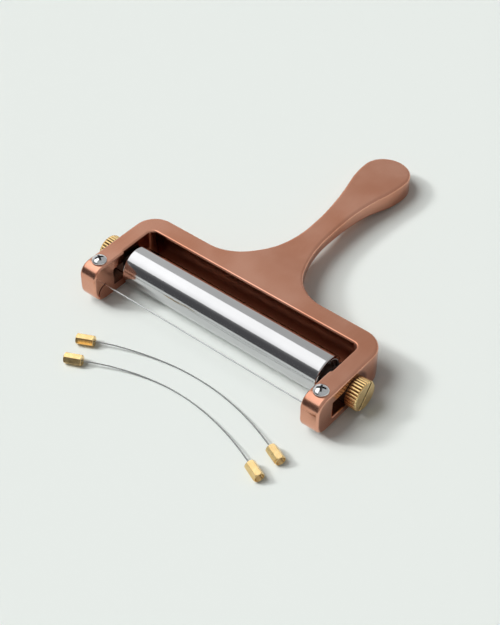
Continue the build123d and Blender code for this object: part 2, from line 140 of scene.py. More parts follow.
class SlicerSizes(bpy.types.PropertyGroup):
    roller_diameter: length("Roller diameter", "Outside of the steel tube", 19.0)
    roller_length: length("Roller length", "Length of the steel tube", 112.4)
    roller_wall: length("Roller wall", "Thickness of the tube's wall", 2.0)
    roller_edge: length("Roller edge", "Rounding of the tube's ends", 0.8)
    thumb_diameter: length("Thumb screw diameter", "Over the ridges of the head", 14.6)
    thumb_length: length("Thumb screw head", "Length of the ridged head", 5.8)
    thumb_chamfer: length("Thumb screw chamfer", "Bevel on the outer end of the head", 0.6)
    ridge_depth: length("Ridge depth", "Depth of the grooves between the ridges", 0.65)
    ridges: IntProperty(name="Ridges", description="Straight ridges round the head", default=28, min=12)
    slot_width: length("Coin slot width", "Slot across the end of the head", 1.15)
    slot_depth: length("Coin slot depth", "Depth of the slot", 1.3)
    washer_diameter: length("Washer diameter", "Washer under the thumb screw", 11.4)
    screw_head: length("Wire screw head", "Diameter of the domed head", 7.1)
    screw_height: length("Wire screw height", "Height of the domed head", 2.4)
    barrel_flats: length("Barrel flats", "Hexagon barrel across its flats", 4.8)
    barrel_length: length("Barrel length", "Hexagon barrel from end to end", 8.4)
    wire_diameter: length("Wire diameter", "Cutting wire and spare wires", 0.6)


class SlicerColours(bpy.types.PropertyGroup):
    copper: colour("Copper", "Satin copper plating", (0.71, 0.348, 0.236))
    brass: colour("Brass", "Turned brass", (0.92, 0.68, 0.34))
    steel: colour("Steel", "Stainless steel of the roller", (0.60, 0.60, 0.61))
    chrome: colour("Chrome", "Plated screws", (0.80, 0.81, 0.83))
    block: colour("Guide block", "Dark steel blocks in the slots", (0.030, 0.026, 0.024))
    axle: colour("Axle", "Ground steel rod", (0.42, 0.42, 0.43))
    ferrule: colour("Ferrules", "Crimped steel sleeves", (0.45, 0.45, 0.46))
    bush: colour("Bush", "Moulded end bushes", (0.115, 0.075, 0.060))
    wire: colour("Cutting wire", "Bright drawn steel wire", (0.66, 0.67, 0.68))
    # The spare wires are the same steel as the cutting wire; their darker colour is painted shade
    spare_wire: colour("Spare wires", "Dull drawn steel wire", (0.34, 0.345, 0.35))
    floor: colour("Floor", "Pale studio floor", (0.800, 0.840, 0.808))


class SlicerLight(bpy.types.PropertyGroup):
    softbox_power: FloatProperty(name="Softbox", description="Power of the overhead softbox", default=4.9,
                                 min=0, unit="POWER", subtype="POWER")
    key_strength: FloatProperty(name="Key", description="Strength of the light that draws the shadow",
                                default=2.06, min=0)
    low_key_strength: FloatProperty(name="Low key", description="Strength of the lower, sharper light",
                                    default=1.34, min=0)
    fill: FloatProperty(name="Fill", description="Level of the light from all round", default=0.21,
                        min=0, subtype="FACTOR")


class Signal:
    """A shader socket that can be used in sums: each operator adds one Math node."""

    def __init__(self, finish, socket):
        self.finish, self.socket = finish, socket

    def math(self, operation, *values):
        return self.finish.add("ShaderNodeMath", {"operation": operation}, dict(enumerate(values)))

    def __add__(self, other):
        return self.math("ADD", self, other)

    def __radd__(self, other):
        return self.math("ADD", other, self)

    def __sub__(self, other):
        return self.math("SUBTRACT", self, other)

    def __rsub__(self, other):
        return self.math("SUBTRACT", other, self)

    def __mul__(self, other):
        return self.math("MULTIPLY", self, other)

    def __rmul__(self, other):
        return self.math("MULTIPLY", other, self)

    def __pow__(self, other):
        return self.math("POWER", self, other)

    def __abs__(self):
        return self.math("ABSOLUTE", self)

    def above(self, low, high):
        """0 below low, 1 above high, and smooth between them."""
        settings = {"interpolation_type": "SMOOTHSTEP"}
        return self.finish.add("ShaderNodeMapRange", settings, {0: self, 1: low, 2: high, 3: 0, 4: 1})


class Finish:
    """The node tree of one material or of the world."""

    def __init__(self, owner):
        self.owner = owner
        owner.use_nodes = True
        self.tree = owner.node_tree
        self.tree.nodes.clear()

    def add(self, kind, settings=None, values=None, output=0):
        """Add a node: first its settings, then the values or links of its sockets."""
        node = self.tree.nodes.new(kind)
        for name, value in (settings or {}).items():
            setattr(node, name, value)
        for name, value in (values or {}).items():
            socket = node.inputs[name]
            if isinstance(value, Signal):
                self.tree.links.new(value.socket, socket)
            elif socket.type == "RGBA" and len(value) == 3:
                socket.default_value = (*value, 1)
            else:
                socket.default_value = value
        return Signal(self, node.outputs[output]) if len(node.outputs) else None

    def mix(self, factor, first, second):
        """Colour that goes from first to second."""
        return self.add("ShaderNodeMix", {"data_type": "RGBA"}, {0: factor, 6: first, 7: second}, 2)

    def noise(self, where, scale, detail=2.0, rough=0.5):
        values = {"Vector": where, "Scale": scale, "Detail": detail, "Roughness": rough}
        return self.add("ShaderNodeTexNoise", {}, values)

    def tool_place(self):
        """Place on the tool in its own frame, in millimetres."""
        back = TURN.transposed()
        where = self.add("ShaderNodeTexCoord", output="Object")
        return self.add("ShaderNodeMapping", {"vector_type": "POINT"}, {
            "Vector": where,
            "Location": -(back @ ORIGIN) / MM,
            "Rotation": back.to_euler("XYZ"),
            "Scale": (1 / MM,) * 3,
        })

    def own_place(self):
        """Place on a piece in the frame in which it was turned or pressed, in millimetres."""
        return self.add("ShaderNodeAttribute", {"attribute_name": "own_place"}, output="Vector")

    def parts(self, place):
        """The three numbers of a place."""
        node = self.add("ShaderNodeSeparateXYZ", {}, {0: place}).socket.node
        return [Signal(self, socket) for socket in node.outputs]

    def scaled(self, place, factors):
        """A place stretched along its axes, so that a pattern runs in lines."""
        return self.add("ShaderNodeVectorMath", {"operation": "MULTIPLY"}, {0: place, 1: factors})

    def bump(self, height, strength, distance, normal=None):
        values = {"Height": height, "Strength": strength, "Distance": distance}
        if normal:
            values["Normal"] = normal
        return self.add("ShaderNodeBump", {}, values)

    def shade(self, **values):
        """The surface shader and the output; names are those of the shader's sockets."""
        named = {name.replace("_", " "): value for name, value in values.items()}
        shader = self.add("ShaderNodeBsdfPrincipled", {}, named)
        self.add("ShaderNodeOutputMaterial", {}, {"Surface": shader})
        return self.owner


def new_finish(name):
    return Finish(bpy.data.materials.new(name))


def tinted(rgb, *factors):
    """A colour made darker or lighter, by one factor or by one for each channel."""
    return tuple(min(1, c * k) for c, k in zip(rgb, factors * (3 // len(factors))))


def copper_finish(rgb):
    """Satin copper plating over the casting: fine brushing along the handle and slight cloudiness."""
    f = new_finish("satin_copper")
    place = f.tool_place()
    x, y, z = f.parts(place)
    brushed = f.noise(f.scaled(place, (3.0, 0.16, 3.0)), 1.0, 3.0, 0.6)
    fine = f.noise(f.scaled(place, (11.0, 0.45, 11.0)), 1.0, 2.0, 0.5)
    cloud = f.noise(place, 0.045, 2.0, 0.5)
    grain = f.noise(place, 3.2, 2.0, 0.6)
    tone = (0.72 * cloud + 0.16 * brushed + 0.12 * grain).above(0.30, 0.70)
    base = f.mix(tone, tinted(rgb, 0.90, 0.80, 0.74), tinted(rgb, 1.05, 1.09, 1.13))
    # A ring of painted shade on the outer face of each arm, round the thumb screw
    outside = abs(x).above(67.6, 68.4)
    reach = ((y - ROLLER_Y) ** 2 + (z - ROLLER_Z) ** 2) ** 0.5
    painted_shade_ring = outside * (1 - reach.above(7.8, 10.2))
    base = f.mix(painted_shade_ring * 0.9, base, tinted(rgb, 0.20, 0.11, 0.07))
    # Painted shade on the walls inside the yoke, below its top roundings, darker towards the crossbar
    between = 1 - abs(x).above(60.0, 61.2)
    painted_shade_in_yoke = between * y.above(-7.5, -6.5) * (1 - y.above(32.2, 33.2)) * (1 - z.above(17.6, 18.6))
    painted_shade_in_yoke = painted_shade_in_yoke * (0.45 + 0.55 * y.above(2.0, 14.0))
    base = f.mix(painted_shade_in_yoke * 0.85, base, tinted(rgb, 0.62, 0.34, 0.22))
    rough = 0.17 + 0.03 * brushed + 0.04 * grain + 0.03 * cloud
    relief = f.bump(0.5 * brushed + 0.5 * fine, 0.035, 0.00002)
    relief = f.bump(grain, 0.05, 0.00003, relief)
    return f.shade(Base_Color=base, Metallic=1.0, Roughness=rough, Normal=relief)


def turned_finish(name, rgb, shine, ring=0.0, lines=0.0, groove=None):
    """Turned or drawn metal: rings round its own axis on the ends, lines along it on the sides.

    With a groove, given by the radii of its bottom and its crest and the height of its end, painted shade
    darkens the grooves between the ridges and the coin slot.
    """
    f = new_finish(name)
    place = f.own_place()
    x, y, z = f.parts(place)
    radius = (x * x + y * y) ** 0.5
    rings = f.noise(f.add("ShaderNodeCombineXYZ", {}, {0: radius * 3.5, 1: z * 3.5}), 1.0, 2.0, 0.6)
    drawn = f.noise(f.scaled(place, (7.0, 7.0, 0.35)), 1.0, 2.0, 0.6)
    cloud = f.noise(place, 0.5, 2.0, 0.5)
    base = f.mix((0.6 * cloud + 0.4 * drawn).above(0.3, 0.7), tinted(rgb, 0.86, 0.80, 0.70), rgb)
    if groove:
        bottom, crest, end = groove
        # Painted shade: the grooves between the ridges and the floor of the coin slot are drawn nearly
        # black
        sunk = (1 - radius.above(bottom, crest)) * (1 - z.above(end - 0.15, end))
        cut = (end + 0.35 - z).above(0, 0.5) * (1 - radius.above(bottom - 0.9, bottom - 0.5))
        sunk = sunk + cut * (1 - sunk)
        base = f.mix(sunk * 0.92, base, tinted(rgb, 0.13, 0.08, 0.04))
    rough = shine + 0.06 * rings + 0.05 * cloud
    relief = f.bump(rings * ring + drawn * lines, 0.35, 0.00003)
    return f.shade(Base_Color=base, Metallic=1.0, Roughness=rough, Normal=relief)


def roller_finish(rgb):
    """Polished stainless tube with a faint lathe finish round it and a few fine scratches."""
    f = new_finish("roller_steel")
    place = f.tool_place()
    x, y, z = f.parts(place)
    along = f.add("ShaderNodeCombineXYZ", {}, {0: x * 5.0, 1: y * 0.15, 2: z * 0.15})
    rings = f.noise(along, 1.0, 3.0, 0.65)
    cloud = f.noise(place, 0.06, 2.0, 0.5)
    base = f.mix(cloud.above(0.3, 0.7), tinted(rgb, 0.95), rgb)
    rough = 0.075 + 0.05 * rings + 0.02 * cloud
    return f.shade(Base_Color=base, Metallic=1.0, Roughness=rough, Normal=f.bump(rings, 0.12, 0.00002))


def chrome_finish(rgb):
    """Bright plating with a trace of orange peel and rubbed marks."""
    f = new_finish("screw_chrome")
    place = f.own_place()
    cloud = f.noise(place, 1.3, 3.0, 0.6)
    x, y, z = f.parts(place)
    base = f.mix(cloud.above(0.3, 0.7), tinted(rgb, 0.86), rgb)
    # Painted shade in the cross recess: what lies below the dome, which falls with the square of the
    # radius, is drawn nearly black
    square = x * x + y * y
    below = (2.4 - 0.108 * square) - z
    recess = below.above(0.12, 0.60) * (1 - square.above(7.6, 8.4))
    base = f.mix(recess * 0.90, base, (0.035, 0.034, 0.036))
    return f.shade(Base_Color=base, Metallic=1.0, Roughness=0.07 + 0.08 * cloud,
                   Normal=f.bump(cloud, 0.25, 0.00004))


def block_finish(rgb):
    """Dark machined steel with fine milling lines."""
    f = new_finish("guide_block")
    place = f.tool_place()
    milled = f.noise(f.scaled(place, (0.5, 7.0, 1.2)), 1.0, 3.0, 0.6)
    base = f.mix(milled.above(0.3, 0.7), tinted(rgb, 0.7), rgb)
    return f.shade(Base_Color=base, Metallic=1.0, Roughness=0.30 + 0.15 * milled,
                   Normal=f.bump(milled, 0.3, 0.00004))


def bush_finish(rgb):
    """Moulded dark plastic with a fine spark-eroded skin."""
    f = new_finish("bush_nylon")
    skin = f.noise(f.own_place(), 6.0, 2.0, 0.5)
    base = f.mix(skin, tinted(rgb, 0.8), rgb)
    return f.shade(Base_Color=base, Roughness=0.32 + 0.14 * skin, Normal=f.bump(skin, 0.25, 0.00005))


def wire_finish(name, rgb):
    """Drawn steel wire with faint marks along it."""
    f = new_finish(name)
    where = f.add("ShaderNodeTexCoord", output="Object")
    marks = f.noise(f.scaled(where, (400.0,) * 3), 1.0, 2.0, 0.6)
    base = f.mix(marks, tinted(rgb, 0.85), rgb)
    return f.shade(Base_Color=base, Metallic=1.0, Roughness=0.16 + 0.12 * marks)


def ground_finish(name, rgb):
    """Ground steel, a little rough, for the axle and the crimped ferrules."""
    f = new_finish(name)
    place = f.tool_place()
    ground = f.noise(f.scaled(place, (6.0, 1.5, 1.5)), 1.0, 3.0, 0.6)
    base = f.mix(ground.above(0.3, 0.7), tinted(rgb, 0.85), rgb)
    return f.shade(Base_Color=base, Metallic=1.0, Roughness=0.24 + 0.12 * ground,
                   Normal=f.bump(ground, 0.2, 0.00003))


def lathe(profile, steps=96, closed=False):
    """A profile of (radius, height) points turned round Z."""
    bm = bmesh.new()
    verts = [bm.verts.new((radius, 0, height)) for radius, height in profile]
    pairs = list(zip(verts, verts[1:])) + ([(verts[-1], verts[0])] if closed else [])
    edges = [bm.edges.new(pair) for pair in pairs]
    bmesh.ops.spin(bm, geom=verts + edges, cent=(0, 0, 0), axis=(0, 0, 1), dvec=(0, 0, 0),
                   angle=2 * math.pi, steps=steps, use_merge=True, use_duplicate=False)
    return cleaned(bm)


def cleaned(bm):
    """The same solid without double points, its faces turned outward."""
    bmesh.ops.remove_doubles(bm, verts=bm.verts, dist=MERGE)
    bmesh.ops.recalc_face_normals(bm, faces=bm.faces)
    return bm


def eased(bm, width, segments=3, chosen=lambda edge: True):
    """Round the sharp edges of a solid."""
    sharp = [e for e in bm.edges if e.is_manifold and e.calc_face_angle() > SHARP and chosen(e)]
    bmesh.ops.bevel(bm, geom=sharp, offset=width, offset_type="OFFSET", segments=segments, profile=0.5,
                    affect="EDGES", material=-1, clamp_overlap=True)
    return bm


def to_mesh(bm, name):
    """A mesh of the solid, which is then let go."""
    mesh = bpy.data.meshes.new(name)
    bm.to_mesh(mesh)
    bm.free()
    return mesh


def joined(first, second, operation):
    """What is left of the first solid after a cut with the second, or what both share."""
    objects = []
    for bm in (first, second):
        o = bpy.data.objects.new("blank", to_mesh(bm, "blank"))
        bpy.context.scene.collection.objects.link(o)
        objects.append(o)
    blank, other = objects
    change = blank.modifiers.new("change", "BOOLEAN")
    change.object, change.operation, change.solver = other, operation, "EXACT"
    depsgraph = bpy.context.evaluated_depsgraph_get()
    mesh = bpy.data.meshes.new_from_object(blank.evaluated_get(depsgraph), depsgraph=depsgraph)
    result = bmesh.new()
    result.from_mesh(mesh)
    for o in objects:
        spare = o.data
        bpy.data.objects.remove(o)
        bpy.data.meshes.remove(spare)
    bpy.data.meshes.remove(mesh)
    if not result.faces:
        raise RuntimeError(f"the {operation.lower()} left nothing")
    return cleaned(result)


def grow(bm, rim, place):
    """Extrude an open rim of edges and move each new point to where place puts it."""
    grown = bmesh.ops.extrude_edge_only(bm, edges=rim)["geom"]
    points = {v for v in grown if isinstance(v, bmesh.types.BMVert)}
    for v in points:
        v.co = place(v.co)
    return [e for e in grown if isinstance(e, bmesh.types.BMEdge) and set(e.verts) <= points]


def at_radius(radius, height):
    """Every point of a rim on one circle."""
    def place(co):
        out = Vector((co.x, co.y, 0)).normalized() * radius
        return Vector((out.x, out.y, height))
    return place


def within_radius(limit, height):
    """Every point of a rim at one height, and none further out than the limit."""
    def place(co):
        flat = Vector((co.x, co.y, 0))
        out = flat.normalized() * min(flat.length, limit)
        return Vector((out.x, out.y, height))
    return place


def thread(radius, depth, pitch, start, end):
    """Profile of a thread from start to end: crests and roots in turn."""
    turns = int(abs(end - start) / pitch)
    step = math.copysign(pitch / 2, end - start)
    return [(radius - depth * (i % 2), start + step * i) for i in range(2 * turns + 1)]


def put(bm, name, place, material, body, slot, *nodes):
    """Store a finished piece at its place, shaded smooth between its edges, riding on its body."""
    mesh = to_mesh(bm, name)
    own = mesh.attributes.new("own_place", "FLOAT_VECTOR", "POINT")
    own.data.foreach_set("vector", [c for v in mesh.vertices for c in v.co])
    mesh.transform(place)
    if place.determinant() < 0:
        mesh.flip_normals()
    mesh.polygons.foreach_set("use_smooth", [True] * len(mesh.polygons))
    mesh.set_sharp_from_angle(angle=SHARP)
    mesh.materials.append(material)
    o = bpy.data.objects.new(name, mesh)
    bpy.context.scene.collection.objects.link(o)
    weighted = o.modifiers.new("flat faces stay flat", "WEIGHTED_NORMAL")
    weighted.keep_sharp = True
    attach(o, body)
    if nodes:
        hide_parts(*nodes)
    return o


def dress(node, material):
    """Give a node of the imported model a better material."""
    for slot in frame["nodes"][node].material_slots:
        slot.material = material


def copy_of(node):
    """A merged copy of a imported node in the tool's frame, with its flat faces whole again."""
    bm = bmesh.new()
    bm.from_mesh(frame["nodes"][node].data)
    bmesh.ops.transform(bm, matrix=TOOL.inverted(), verts=bm.verts)
    bmesh.ops.remove_doubles(bm, verts=bm.verts, dist=MERGE)
    bmesh.ops.dissolve_limit(bm, angle_limit=math.radians(0.5), verts=bm.verts, edges=bm.edges)
    return bm


class SLICER_OT_camera(bpy.types.Operator):
    """Set the camera at the photographed angle"""
    bl_idname = "slicer.camera"
    bl_label = "Camera"

    def execute(self, context):
        data = bpy.data.cameras.new("camera")
        data.sensor_width, data.lens = CAMERA_SENSOR, CAMERA_LENS
        data.clip_start, data.clip_end = 0.01, 20.0
        camera = bpy.data.objects.new("camera", data)
        context.scene.collection.objects.link(camera)
        back = Vector(CAMERA_BACK).normalized()
        right = Vector(CAMERA_RIGHT)
        right = (right - back * right.dot(back)).normalized()
        turn = Matrix((right, back.cross(right), back)).transposed()
        camera.matrix_world = Matrix.Translation(CAMERA_PLACE) @ turn.to_4x4()
        context.scene.camera = camera
        return {"FINISHED"}


def hexagon_blank(across_flats, long):
    """Hexagon bar with two flats facing along X, its long edges just broken."""
    bm = bmesh.new()
    corner = across_flats / math.sqrt(3)
    bmesh.ops.create_cone(bm, segments=6, cap_ends=True, radius1=corner, radius2=corner, depth=long,
                          matrix=Matrix.Translation((0, 0, long / 2)))
    return eased(bm, 0.10, 3, lambda e: abs(e.verts[0].co.z - e.verts[1].co.z) > long / 2)


def barrel(sizes):
    """Hexagon barrel on Z: wire end at 0, threaded mouth at the top, both ends turned."""
    flats, long = millimetres(sizes.barrel_flats), millimetres(sizes.barrel_length)
    corner, chamfer = flats / math.sqrt(3), 0.45
    turned = lathe([(0, 0), (corner - chamfer, 0), (corner, chamfer), (corner, long - chamfer),
                    (corner - chamfer, long), (0, long)])
    bm = joined(hexagon_blank(flats, long), turned, "INTERSECT")
    drill, mouth = 1.8, 2.1
    bore = [(0, BARREL_WALL), (drill, BARREL_WALL)] + thread(2.02, 0.22, WIRE_PITCH, 1.9, long - 0.3)
    bore += [(mouth, long), (mouth, long + PAST), (0, long + PAST)]
    bm = joined(bm, lathe(bore, 48), "DIFFERENCE")
    hole, sunk, deep = 0.65, 0.9, 2
    way_in = [(0, -PAST), (sunk, -PAST), (sunk, 0), (hole, 0.25), (hole, deep), (0, deep)]
    bm = joined(bm, lathe(way_in, 32), "DIFFERENCE")
    near = 0.01
    return eased(bm, 0.06, 2, lambda e: min(v.co.z for v in e.verts) < near
                 or max(v.co.z for v in e.verts) > long - near)


class SLICER_OT_spare_wires(bpy.types.Operator):
    """Lay the two spare wires with their barrels"""
    bl_idname = "slicer.spare_wires"
    bl_label = "Spare wires"

    def execute(self, context):
        sizes, colours = context.scene.slicer_sizes, context.scene.slicer_colours
        brass = turned_finish("barrel_brass", colours.brass, 0.17, 0.5, 0.5)
        crimped = ground_finish("ferrule_steel", colours.ferrule)
        # Painted shade: the spare wires take the cutting wire's steel, drawn darker
        drawn = wire_finish("spare_wire_steel_painted_shade", colours.spare_wire)
        for number, route in SPARE_ROUTES.items():
            for letter, points in (("a", route), ("b", route[::-1])):
                first, second = Vector(points[0]), Vector(points[1])
                away = (first - second).normalized()
                up = (Vector((0, 0, 1)) - away * away.z).normalized()
                turn = Matrix((up, away.cross(up), away)).transposed().to_4x4()
                place = Matrix.Translation(first - away * BARREL_WALL * MM) @ turn @ Matrix.Scale(MM, 4)
                name = f"spare_barrel_{number}{letter}"
                put(barrel(sizes), "hex_" + name, place, brass, "spare_wires", "brass", name)
                dress(f"spare_ferrule_{number}{letter}", crimped)
            line = bpy.data.curves.new(f"spare_line_{number}", "CURVE")
            line.dimensions = "3D"
            line.bevel_depth = sizes.wire_diameter / 2
            line.bevel_resolution, line.resolution_u = 5, 10
            line.use_fill_caps = True
            spline = line.splines.new("NURBS")
            spline.points.add(len(route) - 1)
            for point, place in zip(spline.points, route):
                point.co = (*place, 1)
            spline.order_u, spline.use_endpoint_u = 3, True
            spline.use_smooth = True
            line.materials.append(drawn)
            wire = bpy.data.objects.new(f"spare_line_{number}", line)
            context.scene.collection.objects.link(wire)
            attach(wire, "spare_wires")
            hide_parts(f"spare_wire_{number}")
        return {"FINISHED"}


class SLICER_OT_casting(bpy.types.Operator):
    """Finish the cast frame in satin copper"""
    bl_idname = "slicer.casting"
    bl_label = "Casting"

    def execute(self, context):
        dress("frame", copper_finish(context.scene.slicer_colours.copper))
        return {"FINISHED"}


class SLICER_OT_roller(bpy.types.Operator):
    """Make the steel roller with its end bushes and axle"""
    bl_idname = "slicer.roller"
    bl_label = "Roller"

    def execute(self, context):
        sizes, colours = context.scene.slicer_sizes, context.scene.slicer_colours
        radius, half = millimetres(sizes.roller_diameter) / 2, millimetres(sizes.roller_length) / 2
        bore = radius - millimetres(sizes.roller_wall)
        axis = Matrix.Translation((ROLLER_FLOAT, ROLLER_Y, ROLLER_Z)) @ Matrix.Rotation(math.pi / 2, 4, "Y")
        tube = lathe([(radius, -half), (radius, half), (bore, half), (bore, -half)], 160, True)
        put(eased(tube, millimetres(sizes.roller_edge), 4), "roller_shell", TOOL @ axis,
            roller_finish(colours.steel), "roller", "roller_steel", "roller_tube")
        moulded = bush_finish(colours.bush)
        # A bush stands back in the tube, with a rim round its sunk face and a hub round the axle
        hole, hub, hub_end = 3.05, 4.5, 56.85
        face, disc = half - 1.3, bore - 0.02
        back, sunk, lip = face - 8, face - 0.8, disc - 1.6
        for side, turn in (("right", 0), ("left", math.pi)):
            bush = lathe([(hole, back), (disc, back), (disc, face), (lip, face), (lip, sunk), (hub, sunk),
                          (hub, hub_end), (hole, hub_end)], 96, True)
            put(eased(bush, 0.15, 2), f"bush_{side}", TOOL @ axis @ Matrix.Rotation(turn, 4, "Y"), moulded,
                "roller", "bush_nylon", f"roller_bush_{side}")
        dress("axle", ground_finish("axle_steel", colours.axle))
        return {"FINISHED"}


class SLICER_OT_guide_blocks(bpy.types.Operator):
    """Make the guide blocks that slide in the arms' slots"""
    bl_idname = "slicer.guide_blocks"
    bl_label = "Guide blocks"

    def execute(self, context):
        dark = block_finish(context.scene.slicer_colours.block)
        for side, _ in SIDES:
            node = f"slide_block_{side}"
            put(eased(copy_of(node), 0.15, 2), f"guide_{side}", TOOL, dark, "carriage", "guide_block", node)
        return {"FINISHED"}


def ridge(sizes):
    """One ridge of the thumb screw's rim, from groove to groove, as an open line."""
    bm = bmesh.new()
    tip = millimetres(sizes.thumb_diameter) / 2
    depth, pitch = millimetres(sizes.ridge_depth), 2 * math.pi / sizes.ridges
    verts = []
    for share in (0, 0.07, 0.18, 0.33, 0.5, 0.67, 0.82, 0.93, 1):
        radius = tip - depth * abs(2 * share - 1) ** 1.8
        verts.append(bm.verts.new((radius * math.cos(pitch * share), radius * math.sin(pitch * share), 0)))
    for pair in zip(verts, verts[1:]):
        bm.edges.new(pair)
    return bm


def coin_slot(sizes, tip, high):
    """Cutter for the coin slot: a bar right across the head, with a mouth that opens at the top."""
    bm = bmesh.new()
    half, floor = millimetres(sizes.slot_width) / 2, high - millimetres(sizes.slot_depth)
    mouth = half + 0.15
    side = [(half, floor), (half, high - 0.12), (mouth, high + 0.03), (mouth, high + PAST)]
    corners = [(-half, floor), *side] + [(-y, z) for y, z in side[:0:-1]]
    face = bm.faces.new([bm.verts.new((-2 * tip, y, z)) for y, z in corners])
    grown = bmesh.ops.extrude_face_region(bm, geom=[face])["geom"]
    far = [v for v in grown if isinstance(v, bmesh.types.BMVert)]
    bmesh.ops.translate(bm, vec=(4 * tip, 0, 0), verts=far)
    bmesh.ops.recalc_face_normals(bm, faces=bm.faces)
    bmesh.ops.rotate(bm, cent=(0, 0, 0), matrix=Matrix.Rotation(SLOT_TURN, 3, "Z"), verts=bm.verts)
    return bm


def thumb_screw(sizes):
    """Thumb screw on Z, standing on the arm at 0: ridged head, recess for the washer, threaded shank."""
    bm = ridge(sizes)
    bmesh.ops.spin(bm, geom=list(bm.verts) + list(bm.edges), cent=(0, 0, 0), axis=(0, 0, 1), dvec=(0, 0, 0),
                   angle=2 * math.pi, steps=sizes.ridges, use_merge=False, use_duplicate=True)
    bmesh.ops.remove_doubles(bm, verts=bm.verts, dist=MERGE)
    tip, chamfer = millimetres(sizes.thumb_diameter) / 2, millimetres(sizes.thumb_chamfer)
    low, high = THUMB_STAND_OFF, THUMB_STAND_OFF + millimetres(sizes.thumb_length)
    outline = list(bm.edges)
    rim = grow(bm, outline, within_radius(tip, high - chamfer))
    for share in (0.25, 0.5, 0.75, 1.0):
        rim = grow(bm, rim, within_radius(tip - chamfer * share, high - chamfer * (1 - share)))
    for inset in (0.12, 0.9):
        rim = grow(bm, rim, at_radius(tip - chamfer - inset, high))
    bmesh.ops.edgeloop_fill(bm, edges=rim)
    # From the ridges' lower end inward: the recess for the washer, then the shank
    for v in {v for e in outline for v in e.verts}:
        v.co = within_radius(tip - 0.25, low)(v.co)
    recess = millimetres(sizes.washer_diameter) / 2 + 0.1
    under = [(recess, low), (recess, WASHER_THICKNESS), (THUMB_SHANK, WASHER_THICKNESS), (THUMB_SHANK, low)]
    under += thread(THUMB_SHANK, 0.32, THUMB_PITCH, -0.2, -16.5) + [(1.6, -17.0)]
    rim = outline
    for radius, height in under:
        rim = grow(bm, rim, at_radius(radius, height))
    bmesh.ops.edgeloop_fill(bm, edges=rim)
    return joined(cleaned(bm), coin_slot(sizes, tip, high), "DIFFERENCE")


class SLICER_OT_thumb_screws(bpy.types.Operator):
    """Make the ridged thumb screws and their washers"""
    bl_idname = "slicer.thumb_screws"
    bl_label = "Thumb screws"

    def execute(self, context):
        sizes, colours = context.scene.slicer_sizes, context.scene.slicer_colours
        tip = millimetres(sizes.thumb_diameter) / 2
        end = millimetres(sizes.thumb_length) + THUMB_STAND_OFF
        brass = turned_finish("thumb_brass", colours.brass, 0.20, 0.5, 0.0,
                              (tip - millimetres(sizes.ridge_depth), tip - 0.08, end - 0.6))
        hole, rim, top = 2.1, millimetres(sizes.washer_diameter) / 2, WASHER_THICKNESS
        for side, mirror in SIDES:
            place = TOOL @ mirror @ OUT_OF_ARM
            put(thumb_screw(sizes), f"thumb_{side}", place, brass, f"thumb_screw_{side}", "brass",
                f"thumb_screw_{side}")
            washer = lathe([(hole, 0), (rim, 0), (rim, top), (hole, top)], 96, True)
            put(eased(washer, 0.15, 3), f"washer_{side}", place, brass, f"thumb_washer_{side}", "brass",
                f"thumb_washer_{side}")
        return {"FINISHED"}


def wire_screw(sizes):
    """Wire screw on Z: domed head with a cross recess, threaded shank."""
    rim, top = millimetres(sizes.screw_head) / 2, millimetres(sizes.screw_height)
    edge, end = 0.8, -6.0          # height of the head's straight rim, and the end of the shank
    rise = top - edge
    dome = (rim**2 + rise**2) / (2 * rise)
    sweep = math.asin(rim / dome)
    arc = [(dome * math.sin(sweep * s / 8), top - dome * (1 - math.cos(sweep * s / 8))) for s in range(9)]
    shank = [(WIRE_SHANK, 0)] + thread(WIRE_SHANK, 0.3, WIRE_PITCH, -0.3, -5.7) + [(1.4, end), (0, end)]
    bm = lathe(arc + [(rim, 0)] + shank, 72)
    eased(bm, 0.28, 3, lambda e: all((v.co.x**2 + v.co.y**2) > (rim - 0.1)**2 for v in e.verts))
    # The recess is two crossed wings, each smaller at its foot, and a pit where the driver's point goes
    wing_size, foot_length, foot_width = (6.8, 1.35, 3.0), 0.45, 0.60
    for turn in (0, math.pi / 2):
        wing = bmesh.new()
        bmesh.ops.create_cube(wing, size=1.0)
        bmesh.ops.scale(wing, vec=wing_size, verts=wing.verts)
        for v in wing.verts:
            if v.co.z < 0:
                v.co.x *= foot_length
                v.co.y *= foot_width
        bmesh.ops.translate(wing, vec=(0, 0, top), verts=wing.verts)
        bmesh.ops.rotate(wing, cent=(0, 0, 0), matrix=Matrix.Rotation(CROSS_TURN + turn, 3, "Z"),
                         verts=wing.verts)
        bm = joined(bm, wing, "DIFFERENCE")
    pit = [(0, top - 1.9), (0.35, top - 1.5), (0.75, top - 0.2), (0.85, top + PAST), (0, top + PAST)]
    return joined(bm, lathe(pit, 32), "DIFFERENCE")


class SLICER_OT_wire_screws(bpy.types.Operator):
    """Make the two screws that tighten the cutting wire"""
    bl_idname = "slicer.wire_screws"
    bl_label = "Wire screws"

    def execute(self, context):
        plated = chrome_finish(context.scene.slicer_colours.chrome)
        for side, mirror in SIDES:
            place = TOOL @ mirror @ Matrix.Translation((SCREW_X, 0, SCREW_SEAT_Z))
            put(wire_screw(context.scene.slicer_sizes), f"tension_screw_{side}", place, plated,
                f"wire_screw_{side}", "screw_chrome", f"wire_screw_{side}")
        return {"FINISHED"}


class SLICER_OT_wire_barrels(bpy.types.Operator):
    """Make the barrels in the arms, and finish the cutting wire and its ferrules"""
    bl_idname = "slicer.wire_barrels"
    bl_label = "Barrels and cutting wire"

    def execute(self, context):
        sizes = context.scene.slicer_sizes
        bottom = BARREL_TOP_Z - millimetres(sizes.barrel_length)
        for side, mirror in SIDES:
            place = TOOL @ mirror @ Matrix.Translation((SCREW_X, 0, bottom))
            put(barrel(sizes), f"hex_barrel_{side}", place, bpy.data.materials["barrel_brass"],
                f"wire_barrel_{side}", "brass", f"wire_barrel_{side}")
            dress(f"wire_ferrule_{side}", bpy.data.materials["ferrule_steel"])
        dress("cutting_wire", wire_finish("wire_steel", context.scene.slicer_colours.wire))
        return {"FINISHED"}


